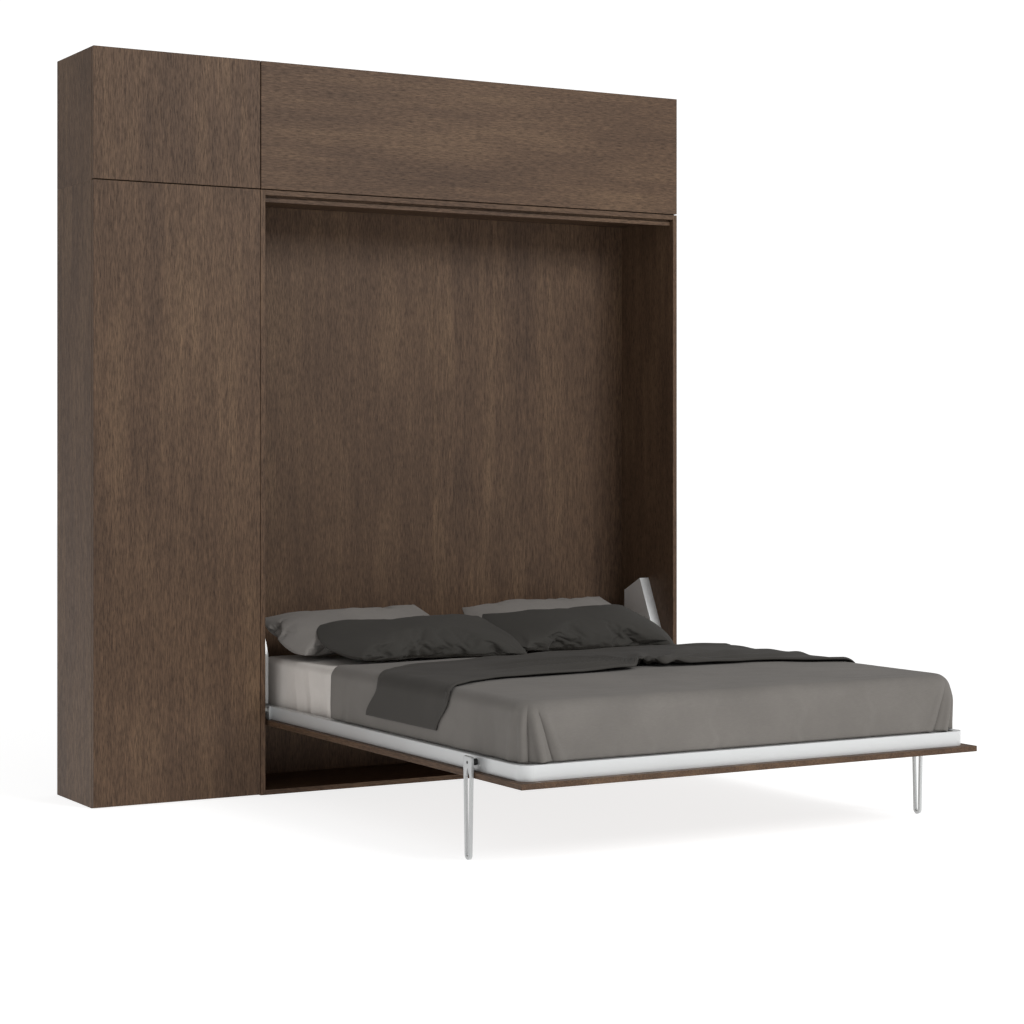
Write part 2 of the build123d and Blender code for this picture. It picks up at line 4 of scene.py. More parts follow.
import bpy
import numpy as np
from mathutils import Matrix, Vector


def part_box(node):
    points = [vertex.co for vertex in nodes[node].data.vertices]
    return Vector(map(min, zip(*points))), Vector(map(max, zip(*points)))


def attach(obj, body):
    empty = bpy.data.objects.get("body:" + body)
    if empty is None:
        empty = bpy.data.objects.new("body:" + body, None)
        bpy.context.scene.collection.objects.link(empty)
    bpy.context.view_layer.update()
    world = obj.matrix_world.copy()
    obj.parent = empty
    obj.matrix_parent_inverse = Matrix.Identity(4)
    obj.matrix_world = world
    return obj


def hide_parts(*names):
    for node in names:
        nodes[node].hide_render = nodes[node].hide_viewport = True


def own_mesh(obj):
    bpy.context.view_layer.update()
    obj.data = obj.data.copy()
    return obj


# %% [markdown]
# A wall bed stands open in its tall cabinet. The cabinet, the steel frame, the legs and the mechanism
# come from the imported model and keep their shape: they only need finishes. The soft goods are made
# here as meshes, because cloth follows what lies under it and no plain solid looks like that.

# %% Load the fixed frame and keep its box
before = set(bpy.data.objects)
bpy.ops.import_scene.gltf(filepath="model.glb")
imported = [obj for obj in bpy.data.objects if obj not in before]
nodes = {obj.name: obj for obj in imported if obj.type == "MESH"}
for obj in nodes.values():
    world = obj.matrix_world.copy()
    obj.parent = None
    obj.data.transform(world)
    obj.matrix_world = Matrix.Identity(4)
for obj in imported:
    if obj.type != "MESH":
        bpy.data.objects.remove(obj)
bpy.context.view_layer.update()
scene = bpy.context.scene

# %% Places that everything below is worked out from
mattress_low, mattress_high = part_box("mattress")
duvet_low, duvet_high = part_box("duvet")
throw_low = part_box("throw")[0]
column_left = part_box("column_sides")[0].x
front_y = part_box("bay_side_left")[0].y
frame_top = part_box("foot_rail")[1].z
top_z = mattress_high.z
middle_x = (mattress_low.x + mattress_high.x) / 2
half_w = (mattress_high.x - mattress_low.x) / 2
bed_left = middle_x - half_w
print("bed middle", round(middle_x, 3), "mattress top", round(top_z, 3))

# %% [markdown]
# The camera stands to the left of the bed at eye height, with a long lens held level, so that upright
# edges stay upright. A camera tilted down would bring the floor into view but make the cabinet lean,
# so a small shift of the lens does it instead.

# %% The camera
FROM_COLUMN = 2.6386
FROM_FRONT = 7.4213
EYE_HEIGHT = 1.2226
HEADING = math.radians(-29.99)
camera = bpy.data.objects.new("camera", bpy.data.cameras.new("camera"))
scene.collection.objects.link(camera)
camera.location = (column_left - FROM_COLUMN, front_y - FROM_FRONT, EYE_HEIGHT)
camera.rotation_euler = (math.radians(90), 0, HEADING)
camera.data.lens = 80.04
camera.data.sensor_width = 36
camera.data.shift_y = -0.0606
camera.data.clip_end = 60
scene.camera = camera
print("camera at", [round(v, 3) for v in camera.location])

# %% [markdown]
# The floor is plain and glows a little, so that it meets the white world without a horizon. A large
# soft light from the upper right front models the folds, a weak one from the left softens its shadows,
# and the even world lights the rest. The world is seen brighter than it shines, which keeps the
# background white without washing the bed out.

# %% Floor and world
FLOOR_REACH = 30
FLOOR_GREY = 0.5
FLOOR_GLOW = 0.79
WORLD_LIGHT = 0.46
WORLD_SEEN = 1.1
floor_mesh = bpy.data.meshes.new("floor")
floor_mesh.from_pydata([(FLOOR_REACH * x, FLOOR_REACH * y, 0)
                        for x, y in ((-1, -1), (1, -1), (1, 1), (-1, 1))], [], [(0, 1, 2, 3)])
floor = bpy.data.objects.new("floor", floor_mesh)
scene.collection.objects.link(floor)

sweep = bpy.data.materials.new("studio_floor")
sweep.use_nodes = True
sweep_shader = sweep.node_tree.nodes["Principled BSDF"]
sweep_shader.inputs["Base Color"].default_value = (FLOOR_GREY, FLOOR_GREY, FLOOR_GREY, 1)
sweep_shader.inputs["Roughness"].default_value = 1.0
sweep_shader.inputs["Specular IOR Level"].default_value = 0.0
sweep_shader.inputs["Emission Color"].default_value = (1, 1, 1, 1)
sweep_shader.inputs["Emission Strength"].default_value = FLOOR_GLOW
floor.data.materials.append(sweep)

world = bpy.data.worlds.new("studio")
scene.world = world
world.use_nodes = True
background = world.node_tree.nodes["Background"]
background.inputs["Color"].default_value = (1, 1, 1, 1)
seen = world.node_tree.nodes.new("ShaderNodeLightPath")
strength = world.node_tree.nodes.new("ShaderNodeMapRange")
strength.inputs["To Min"].default_value = WORLD_LIGHT
strength.inputs["To Max"].default_value = WORLD_SEEN
world.node_tree.links.new(seen.outputs["Is Camera Ray"], strength.inputs["Value"])
world.node_tree.links.new(strength.outputs["Result"], background.inputs["Strength"])


# %% Lights
def area_light(name, place, aim, size, power):
    """A square soft light at a place, turned towards a point: its tilt is the angle between upright
    and the line back to the light, its heading the direction of that line on the floor."""
    light = bpy.data.objects.new(name, bpy.data.lights.new(name, "AREA"))
    light.data.size = size
    light.data.energy = power
    light.location = place
    away = np.array(place) - np.array(aim)
    tilt = math.acos(away[2] / np.linalg.norm(away))
    light.rotation_euler = (tilt, 0, math.atan2(away[1], away[0]) + math.pi / 2)
    scene.collection.objects.link(light)


BED_AND_BAY = (0, 0, 0.8)
area_light("key", (2.8, -6.8, 5.0), BED_AND_BAY, 3.0, 370)
area_light("fill", (-5.5, -5.0, 3.0), BED_AND_BAY, 4.0, 15)
scene.view_settings.view_transform = "Standard"


# %% [markdown]
# A finish is a small network of nodes around one shader. These helpers keep each finish short: the
# first two start it, and each of the others adds one step and gives back its output, so that a
# finish reads as a formula. Every pattern is read on Object coordinates, which are metres on the
# piece, so it keeps its real size and moves with the piece.

# %% Material helpers
def add_node(material, kind, **sockets):
    """A shader node of a kind, with values set on its named inputs."""
    node = material.node_tree.nodes.new(kind)
    for name, value in sockets.items():
        node.inputs[name.replace("_", " ")].default_value = value
    return node


def new_finish(name, roughness, **shader):
    """A material with one Principled shader, its even values set on the shader's own sockets."""
    material = bpy.data.materials.new(name)
    material.use_nodes = True
    principled = material.node_tree.nodes["Principled BSDF"]
    principled.inputs["Roughness"].default_value = roughness
    for socket, value in shader.items():
        principled.inputs[socket.replace("_", " ")].default_value = value
    return material, principled, material.node_tree.links.new


def object_coordinates(material, stretch=(1, 1, 1), shift=(0, 0, 0)):
    """Object coordinates times stretch plus shift, along each axis."""
    coordinates = material.node_tree.nodes.new("ShaderNodeTexCoord")
    mapping = material.node_tree.nodes.new("ShaderNodeMapping")
    mapping.inputs["Scale"].default_value = stretch
    mapping.inputs["Location"].default_value = shift
    material.node_tree.links.new(coordinates.outputs["Object"], mapping.inputs["Vector"])
    return mapping.outputs["Vector"]


def noise(material, stretch=(1, 1, 1), shift=(0, 0, 0), **sockets):
    """Cloudy noise from 0 to 1: the larger the stretch along an axis, the finer it is that way."""
    texture = add_node(material, "ShaderNodeTexNoise", **sockets)
    place = object_coordinates(material, stretch, shift)
    material.node_tree.links.new(place, texture.inputs["Vector"])
    return texture.outputs["Fac"]


def ramp(material, value, *stops):
    """The colour at value on straight lines through (place, colour) stops, lowest place first."""
    node = material.node_tree.nodes.new("ShaderNodeValToRGB")
    for place, _ in stops[2:]:
        node.color_ramp.elements.new(place)
    for element, (place, colour) in zip(node.color_ramp.elements, stops):
        element.position = place
        element.color = (*colour, 1)
    material.node_tree.links.new(value, node.inputs["Fac"])
    return node.outputs["Color"]


def grey(level):
    """An even grey."""
    return (level, level, level)


def arithmetic(material, operation, *values):
    """A Math node on up to three values, each a plain number or another node's output."""
    node = material.node_tree.nodes.new("ShaderNodeMath")
    node.operation = operation
    for socket, value in zip(node.inputs, values):
        if isinstance(value, float):
            socket.default_value = value
        else:
            material.node_tree.links.new(value, socket)
    return node.outputs[0]


def multiplied(material, first, second):
    """One colour times another."""
    node = material.node_tree.nodes.new("ShaderNodeMixRGB")
    node.blend_type = "MULTIPLY"
    node.inputs["Fac"].default_value = 1
    material.node_tree.links.new(first, node.inputs["Color1"])
    material.node_tree.links.new(second, node.inputs["Color2"])
    return node.outputs["Color"]


def emboss(material, shader, height, strength, distance):
    """Tilt the shader's normal by the slope of a height, as a relief this deep would."""
    bump = add_node(material, "ShaderNodeBump", Strength=strength, Distance=distance)
    material.node_tree.links.new(height, bump.inputs["Height"])
    material.node_tree.links.new(bump.outputs["Normal"], shader.inputs["Normal"])


def dress(names, material):
    """Give CAD nodes one material."""
    for name in names:
        nodes[name].data.materials.clear()
        nodes[name].data.materials.append(material)


# %% [markdown]
# The boards are melamine in a dark smoked oak. Its grain is long streaks of uneven colour with short
# dark pores pressed into the face. An image of a board would repeat from door to door, so the grain is
# worked out: noise stretched along the board gives streaks, and a finer, harder one gives pores.
# The grain runs up the doors and sides, across the flap and along the bed's length in its front boards.

# %% Oak finish
OAK_SHADES = ((0.28, (0.066, 0.039, 0.025)), (0.5, (0.100, 0.060, 0.037)),
              (0.74, (0.150, 0.094, 0.056)))
PORE_SHADES = ((0.36, (0.48, 0.46, 0.44)), (0.52, grey(0.98)), (0.66, (1.25, 1.22, 1.16)))
FIGURE_SHADES = ((0.34, (0.74, 0.73, 0.72)), (0.66, (1.16, 1.15, 1.13)))
PORE_DEPTH = 0.0006
ACROSS, LENGTHWISE, UP = 0, 1, 2


def oak(name, along, shift):
    """Smoked oak with its grain along axis 0, 1 or 2; the shift makes each board its own plank.
    The colour is the oak shade at 0.55 cloud + 0.45 streaks, times the pores, times the figure."""
    material, shader, link = new_finish(name, 0.5, Specular_IOR_Level=0.2)

    def grain(across, lengthwise, detail, roughness):
        stretch = [across] * 3
        stretch[along] = lengthwise
        return noise(material, stretch, shift, Scale=1.0, Detail=detail, Roughness=roughness)

    streaks = grain(34, 1.6, 6.0, 0.62)
    cloud = grain(7, 1.5, 3.0, 0.5)
    pores = grain(360, 34, 4.0, 0.7)
    figure = grain(190, 11, 5.0, 0.75)

    shade = arithmetic(material, "MULTIPLY_ADD", cloud, 0.55,
                       arithmetic(material, "MULTIPLY", streaks, 0.45))
    colour = ramp(material, shade, *OAK_SHADES)
    colour = multiplied(material, colour, ramp(material, pores, *PORE_SHADES))
    colour = multiplied(material, colour, ramp(material, figure, *FIGURE_SHADES))
    link(colour, shader.inputs["Base Color"])
    emboss(material, shader, pores, 0.35, PORE_DEPTH)
    link(ramp(material, pores, (0.3, grey(0.62)), (0.7, grey(0.46))), shader.inputs["Roughness"])
    return material


# %% Oak boards
upright = ["column_sides", "column_back", "upper_sides", "upper_back", "bay_side_left",
           "bay_side_right", "bay_back_left", "bay_back_right", "overhead_sides", "overhead_back",
           "overhead_divider", "column_door", "upper_door"]
level = ["column_decks", "column_shelves", "upper_decks", "overhead_decks", "bay_floor", "bay_top",
         "bay_stop_rail", "overhead_flap"]
bed_front = ["front_board_left", "front_board_right"]
for number, name in enumerate(upright):
    dress([name], oak(f"oak_{name}", UP, (0.37 * number, 0.61 * number, 0)))
for number, name in enumerate(level):
    dress([name], oak(f"oak_{name}", ACROSS, (0, 0.43 * number, 0.71 * number)))
for number, name in enumerate(bed_front):
    dress([name], oak(f"oak_{name}", LENGTHWISE, (0.9 * number, 0, 0.3 * number)))
print("oak boards", len(upright) + len(level) + len(bed_front))


# %% [markdown]
# Powder coat is a baked paint with a very fine orange-peel texture. An even grey would look like
# plastic, so a small noise embosses it and a slow one changes its gloss. Plated steel needs only fine
# streaks in its gloss, because its looks come from what it mirrors, and nylon is matt and grained.

# %% Powder coat, plated steel and moulded parts
PEEL_DEPTH = 0.0002


def powder_coat(name, colour, roughness):
    """Fine-textured baked paint, its roughness within 0.05 of the one given."""
    material, shader, link = new_finish(name, roughness, Base_Color=(*colour, 1), Metallic=0.35)
    emboss(material, shader, noise(material, Scale=900.0, Detail=2.0), 0.12, PEEL_DEPTH)
    patches = noise(material, Scale=6.0, Detail=3.0)
    gloss = ramp(material, patches, (0.3, grey(roughness - 0.05)), (0.7, grey(roughness + 0.05)))
    link(gloss, shader.inputs["Roughness"])
    return material


def metal(name, colour, roughness, fineness):
    """Bare or plated metal with fine streaks in its gloss."""
    material, shader, link = new_finish(name, roughness, Base_Color=(*colour, 1), Metallic=1.0)
    streaks = noise(material, (fineness,) * 3, Scale=1.0, Detail=4.0)
    gloss = ramp(material, streaks, (0.3, grey(roughness - 0.08)), (0.7, grey(roughness + 0.1)))
    link(gloss, shader.inputs["Roughness"])
    return material


def moulded(name, colour):
    """Moulded nylon: matt, faintly grained."""
    material, shader, _ = new_finish(name, 0.55, Base_Color=(*colour, 1))
    emboss(material, shader, noise(material, Scale=600.0, Detail=3.0), 0.2, PEEL_DEPTH)
    return material


BLACK = grey(0.02)
dress(["side_rail_left", "side_rail_right", "head_rail", "foot_rail", "pivot_arms", "centre_beam"],
      powder_coat("frame_paint", (0.64, 0.65, 0.65), 0.34))
dress(["leg_left", "leg_right"], powder_coat("leg_paint", (0.52, 0.53, 0.53), 0.30))
dress(["mech_cover_left", "mech_cover_right"], powder_coat("cover_paint", (0.80, 0.81, 0.81), 0.40))
dress(["mech_plates", "mech_bolts", "pivot_pins", "wall_plates", "shelf_pins", "door_hinge_arms",
       "flap_hinge_arms", "flap_brackets"], metal("zinc", (0.62, 0.62, 0.6), 0.35, 60))
dress(["column_door_cups", "upper_door_cups", "overhead_flap_cups"],
      metal("nickel", (0.7, 0.68, 0.64), 0.28, 90))
dress(["gas_rods", "stay_rods"], metal("chrome", grey(0.8), 0.12, 200))
dress(["gas_cylinders", "stay_cylinders"], powder_coat("strut_black", BLACK, 0.4))
dress(["slat_caps", "leg_pivots", "pivot_bushes"], moulded("nylon_black", BLACK))


# %% [markdown]
# The slats under the mattress are bent beech with a clear lacquer. They show only from below and when
# the bed is closed, so one noise, drawn out along each slat, is grain enough.

# %% Beech slats
def beech():
    """Lacquered beech with its grain across the bed."""
    material, shader, link = new_finish("beech", 0.35)
    grain = noise(material, (3, 120, 120), Scale=1.0, Detail=5.0, Roughness=0.6)
    colour = ramp(material, grain, (0.3, (0.50, 0.33, 0.19)), (0.7, (0.66, 0.47, 0.30)))
    link(colour, shader.inputs["Base Color"])
    return material


dress(["slats"], beech())


# %% [markdown]
# Woven cotton scatters light softly and has a faint nap, so its shader is rough with a little sheen.
# Real threads are too fine to draw, so two crossed waves, with bands one to two millimetres apart,
# stand for the weave. A slow noise varies the shade and a finer one gives uneven threads.

# %% Fabric finish
COTTON_BANDS = 222.93
COARSE_BANDS = 143.31
WEAVE_DEPTH = 0.0003
SHADE_CHANGE = 0.10


def woven(name, colour, nap, bands=COTTON_BANDS):
    """Plain-woven cloth. Its colour is the given one, up to a tenth lighter or darker, times the
    uneven threads; its relief is one wave along x times one along y; its nap is the sheen."""
    material, shader, link = new_finish(name, 0.86, Sheen_Weight=nap, Sheen_Roughness=0.5,
                                        Specular_IOR_Level=0.25)
    cloud = noise(material, Scale=3.5, Detail=5.0, Roughness=0.6)
    dark, light = (tuple(c * share for c in colour) for share in (1 - SHADE_CHANGE, 1 + SHADE_CHANGE))
    threads = noise(material, (60, 900, 900), Scale=1.0, Detail=3.0, Roughness=0.7)
    shade = multiplied(material, ramp(material, cloud, (0.3, dark), (0.7, light)),
                       ramp(material, threads, (0.35, grey(0.93)), (0.65, grey(1.05))))
    link(shade, shader.inputs["Base Color"])

    waves = []
    for direction in ("X", "Y"):
        wave = add_node(material, "ShaderNodeTexWave", Scale=bands)
        wave.wave_type = "BANDS"
        wave.bands_direction = direction
        link(object_coordinates(material), wave.inputs["Vector"])
        waves.append(wave.outputs["Fac"])
    emboss(material, shader, arithmetic(material, "MULTIPLY", *waves), 0.25, WEAVE_DEPTH)
    return material


sheet_cotton = woven("sheet_cotton", (0.66, 0.62, 0.58), 0.1)
duvet_cotton = woven("duvet_cotton", (0.160, 0.148, 0.135), 0.08)
pillow_cotton = woven("pillow_cotton", (0.215, 0.200, 0.185), 0.08)
throw_weave = woven("throw_weave", (0.052, 0.048, 0.043), 0.04, COARSE_BANDS)
dark_cotton = woven("dark_cotton", (0.046, 0.043, 0.038), 0.04)


# %% [markdown]
# Creases need a few simple curves: a smooth random swell, a round bell, a pinched ridge and a soft
# step. Each works on whole arrays, so a surface of many thousand points is made in a few lines.

# %% Curves and grids
RIPPLE_WAVES = 14
RIPPLE_PEAK = 1.4


def linked_mesh(name, points, faces):
    """A smooth-shaded mesh object in the scene."""
    mesh = bpy.data.meshes.new(name)
    mesh.from_pydata(points, [], faces.tolist())
    mesh.polygons.foreach_set("use_smooth", np.ones(len(mesh.polygons), bool))
    piece = bpy.data.objects.new(name, mesh)
    scene.collection.objects.link(piece)
    return piece


def grid_mesh(name, points):
    """A mesh from an array of points with shape (rows, columns, 3); faces join neighbours."""
    rows, columns = points.shape[:2]
    index = np.arange(rows * columns).reshape(rows, columns)
    corners = np.stack([index[:-1, :-1], index[1:, :-1], index[1:, 1:], index[:-1, 1:]], -1)
    return linked_mesh(name, points.reshape(-1, 3), corners.reshape(-1, 4))


def ripple(x, y, seed, scale):
    """A smooth random field of about -1 to 1: a sum of plane waves, sin(2 pi distance / length +
    phase), each with its own direction and phase and a length near scale."""
    chance = np.random.default_rng(seed)
    total = np.zeros(x.shape)
    for _ in range(RIPPLE_WAVES):
        angle = chance.uniform(0, math.pi)
        length = scale * chance.uniform(0.6, 1.7)
        phase = chance.uniform(0, 2 * math.pi)
        total += np.sin((x * math.cos(angle) + y * math.sin(angle)) * 2 * math.pi / length + phase)
    return total / math.sqrt(RIPPLE_WAVES) / RIPPLE_PEAK


def bump_at(value, place, width):
    """A bell of height 1 at a place: exp(-d squared), with d counted in widths."""
    return np.exp(-((value - place) / width) ** 2)


def sharp_at(value, place, width):
    """A pinched ridge of height 1 at a place: 1 / (1 + d squared), with d counted in widths."""
    return 1 / (1 + ((value - place) / width) ** 2)


def smooth_step(value, low, high):
    """0 below low, 1 above high, and 3 t squared - 2 t cubed between them."""
    t = np.clip((value - low) / (high - low), 0, 1)
    return t * t * (3 - 2 * t)


# %% [markdown]
# Bedding keeps to the mattress below it, so each cover is the mattress's own outline, grown by the
# thickness of what lies between. A cloth solver could drop it there, but would not put each crease
# where the real one is. A point is found from how far it is round the bed and how far up the
# side and in over the top, and creases push it outwards before the mesh is made.

# %% Outline of the bed
CORNER = 0.060
EDGE = 0.024
FINE_STEPS = 4000
CROWD = 5
CROWD_REACH = 0.07
Run = namedtuple("Run", "side quarter foot total")


def outline(skin, head_y, count):
    """Points and outward normals round three sides of the bed: down the left side from the head
    edge, round a quarter circle, along the foot, round the other quarter and up the right side.
    Columns stand up to 1 + CROWD times closer at the two corners."""
    radius = CORNER + skin
    half = half_w + skin
    foot_y = mattress_low.y - skin
    side = head_y - (foot_y + radius)
    quarter = math.pi * radius / 2
    foot = 2 * (half - radius)
    total = 2 * side + 2 * quarter + foot
    even = np.linspace(0, total, FINE_STEPS)
    corners = (bump_at(even, side + quarter / 2, CROWD_REACH)
               + bump_at(even, total - side - quarter / 2, CROWD_REACH))
    crowd = np.cumsum(1 + CROWD * corners)
    s = np.interp(np.linspace(crowd[0], crowd[-1], count), crowd, even)

    x, y, nx, ny = (np.zeros(count) for _ in range(4))
    at = s < side
    x[at], y[at], nx[at] = -half, head_y - s[at], -1
    at = (s >= side) & (s < side + quarter)
    turn = (s[at] - side) / radius
    x[at] = -half + radius - radius * np.cos(turn)
    y[at] = foot_y + radius - radius * np.sin(turn)
    nx[at], ny[at] = -np.cos(turn), -np.sin(turn)
    at = (s >= side + quarter) & (s < side + quarter + foot)
    x[at] = -half + radius + s[at] - side - quarter
    y[at], ny[at] = foot_y, -1
    at = (s >= side + quarter + foot) & (s < side + 2 * quarter + foot)
    turn = (s[at] - side - quarter - foot) / radius
    x[at] = half - radius + radius * np.sin(turn)
    y[at] = foot_y + radius - radius * np.cos(turn)
    nx[at], ny[at] = np.sin(turn), -np.cos(turn)
    at = s >= side + 2 * quarter + foot
    x[at], y[at], nx[at] = half, foot_y + radius + s[at] - (total - side), 1
    return s, x + middle_x, y, nx, ny, Run(side, quarter, foot, total)


# %% A cover from the outline
SIDE_ROWS, EDGE_ROWS, TOP_ROWS = 26, 12, 42
TOP_CROWD = 1.15
SPINE_FROM_FOOT = 0.8


def cover(name, skin, hem_z, head_y, columns, crease):
    """A cover over the bed's foot and sides. Its rows climb from the hem, turn in through a quarter
    circle of radius EDGE + skin and run in over the top, each point in a straight line to the nearest
    point of the bed's middle line, which ends SPINE_FROM_FOOT short of the foot. Height is 0 at the
    hem, 1 at the top and 2 on the middle line."""
    s, x, y, nx, ny, run = outline(skin, head_y, columns)
    high = top_z + skin
    edge = EDGE + skin
    rows = []

    def add_row(row_x, row_y, z, tilt, height):
        rows.append((np.stack([row_x, row_y, np.full_like(x, z)], -1), tilt, height))

    for z in np.linspace(hem_z, high - edge, SIDE_ROWS):
        add_row(x, y, z, 0.0, (z - hem_z) / (high - hem_z))
    for tilt in np.linspace(0, math.pi / 2, EDGE_ROWS)[1:]:
        inset = edge * (1 - math.cos(tilt))
        z = high - edge + edge * math.sin(tilt)
        add_row(x - nx * inset, y - ny * inset, z, tilt, (z - hem_z) / (high - hem_z))
    inner_x, inner_y = x - nx * edge, y - ny * edge
    spine_y = np.clip(y, mattress_low.y + SPINE_FROM_FOOT, head_y)
    for share in np.linspace(0, 1, TOP_ROWS)[1:] ** TOP_CROWD:
        add_row(inner_x + (middle_x - inner_x) * share, inner_y + (spine_y - inner_y) * share,
                high, math.pi / 2, 1 + share)

    points, tilts, heights = (np.array(part) for part in zip(*rows))
    tilts, heights = tilts[:, None], heights[:, None]
    normal = np.stack([np.cos(tilts) * nx, np.cos(tilts) * ny, np.sin(tilts) * np.ones_like(nx)], -1)
    around, heights = np.broadcast_arrays(s[None, :], heights)
    push = crease(around, heights, points, run)
    return grid_mesh(name, points + normal * push[..., None])


def finish_cloth(piece, thickness, material):
    """Give a sheet its thickness and its finish, and set it riding."""
    solid = piece.modifiers.new("thickness", "SOLIDIFY")
    solid.thickness = thickness
    solid.offset = -1
    piece.data.materials.append(material)
    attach(piece, "bed")


# %% [markdown]
# The fitted sheet is pulled down over the mattress by an elastic hem, which gathers it into soft
# upright folds at the side near the head. Only the head end shows, because the duvet covers the rest,
# so only that end gets folds. Each fold is a bell across the run of the cloth, deepest at the hem.

# %% Mattress and fitted sheet
SHEET_SKIN = 0.0006
HEM_GAP = 0.004
SHEET_FROM_HEAD = 0.03
SHEET_COLUMNS = 620
SHEET_SWELL = 0.0022
# Each fold is (distance from the head, width, depth).
SHEET_FOLDS = [(0.10, 0.05, 0.004), (0.27, 0.020, 0.006), (0.34, 0.013, -0.005), (0.39, 0.016, 0.007),
               (0.46, 0.022, -0.004), (0.52, 0.018, 0.005), (0.60, 0.030, 0.003)]


def sheet_crease(s, height, points, run):
    """Folds near the head at both sides, fading upwards and leaning 5 cm, and a faint swell on top."""
    from_head = np.minimum(s, run.total - s)
    folds = np.zeros(s.shape)
    for place, width, depth in SHEET_FOLDS:
        folds += depth * bump_at(from_head + 0.05 * (height - 0.5), place, width)
    swell = SHEET_SWELL * ripple(points[..., 0], points[..., 1], 3, 0.35)
    return folds * np.clip(1.05 - height, 0, 1) + swell * smooth_step(height, 0.98, 1.1)


sheet = cover("fitted_sheet", SHEET_SKIN, mattress_low.z + HEM_GAP, mattress_high.y - SHEET_FROM_HEAD,
              SHEET_COLUMNS, sheet_crease)
sheet.data.materials.append(sheet_cotton)
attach(sheet, "bed")
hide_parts("mattress")
print("fitted sheet", len(sheet.data.vertices), "points")

# %% [markdown]
# The duvet lies over the foot two thirds of the mattress and is tucked down inside the steel frame. It
# is thin and smooth, with faint upright creases in its foot face and a deep gather at each foot
# corner, where the flat cloth has too much length to go round. A gather is a few pinched ridges and
# valleys side by side, which lean away from the corner as they run down.

# %% Duvet
DUVET_SKIN = 0.0098
DUVET_THICKNESS = 0.008
DUVET_COLUMNS = 560
FACE_SWELL = 0.0022
TOP_SWELL, TOP_WRINKLE = 0.0030, 0.0010
DRAG, DRAG_PITCH = 0.0012, 70
# Each gather is (distance past the middle of the corner, lean, width, depth); each crease is
# (share of the foot's length, or distance from the head edge, width, depth).
CORNER_GATHERS = [(-0.040, -0.03, 0.014, 0.0050), (-0.012, 0.0, 0.0080, 0.0150),
                  (0.0, 0.0, 0.0032, -0.0240), (0.013, 0.030, 0.0080, 0.0150),
                  (0.027, 0.055, 0.0050, -0.0130), (0.042, 0.070, 0.010, 0.0060)]
FOOT_CREASES = [(0.17, 0.014, -0.0026), (0.235, 0.011, 0.0028), (0.39, 0.010, 0.0048),
                (0.405, 0.012, -0.0030), (0.615, 0.010, 0.0050), (0.631, 0.012, -0.0028),
                (0.80, 0.010, 0.0052), (0.815, 0.012, -0.0032), (0.93, 0.014, 0.0028)]
SIDE_CREASES = [(0.035, 0.020, 0.004), (0.085, 0.014, -0.003), (0.13, 0.018, 0.004),
                (0.9, 0.05, 0.003), (1.06, 0.025, 0.004), (1.12, 0.02, -0.003)]


def duvet_crease(s, height, points, run):
    """Pinched gathers at the two foot corners, faint creases down the foot and sides, a slow swell
    on the faces and top, and fine slanting drag lines in front of the throw's pinch."""
    low = np.clip(1.0 - height, 0, 1)
    push = np.zeros(s.shape)
    corner = run.side + run.quarter / 2
    fade = smooth_step(0.97 - height, 0.0, 0.45)
    for middle, way in ((corner, 1), (run.total - corner, -1)):
        for place, lean, width, depth in CORNER_GATHERS:
            push += depth * sharp_at(s, middle + way * (place + lean * (0.9 - height)), width) * fade
    for place, width, depth in FOOT_CREASES:
        waver = 0.015 * np.sin(9 * height + 40 * place)
        middle = run.side + run.quarter + place * run.foot
        push += depth * sharp_at(s + waver, middle, width) * low ** 0.7
    for place, width, depth in SIDE_CREASES:
        push += depth * bump_at(s, place, width) * low
        push += depth * bump_at(s, run.total - place, width) * low
    face = smooth_step(height, 0.0, 0.3) * (1 - smooth_step(height, 0.9, 1.0))
    push += FACE_SWELL * ripple(s, 0.16 * height, 11, 0.30) * face

    x, y = points[..., 0], points[..., 1]
    top = TOP_SWELL * ripple(x, y, 5, 0.55) + TOP_WRINKLE * ripple(x, 2.5 * y, 8, 0.16)
    near_pinch = bump_at(x, middle_x + 0.05, 0.14) * bump_at(y, throw_low.y - 0.12, 0.1)
    top += DRAG * np.sin(DRAG_PITCH * (x + 0.55 * y)) * near_pinch
    return push + top * smooth_step(height, 0.95, 1.12)


duvet = cover("duvet_cover", DUVET_SKIN, frame_top + HEM_GAP, duvet_high.y, DUVET_COLUMNS, duvet_crease)
finish_cloth(duvet, DUVET_THICKNESS, duvet_cotton)
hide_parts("duvet")

# %% [markdown]
# The throw is a loose runner laid across the bed. It hangs down the left side, widens to the right,
# and its near edge is pinched up into a fan of pleats right of the middle. A solver would let the fan
# fall flat, so it is drawn: a strip is carried across the bed along the duvet's own section, its two
# long edges follow a few points, rounded off, and ridges spread out from the pinch.

# %% The throw's path across the bed
THROW_SKIN = 0.0190
THROW_THICKNESS = 0.0035
THROW_COLUMNS, THROW_ROWS = 340, 96


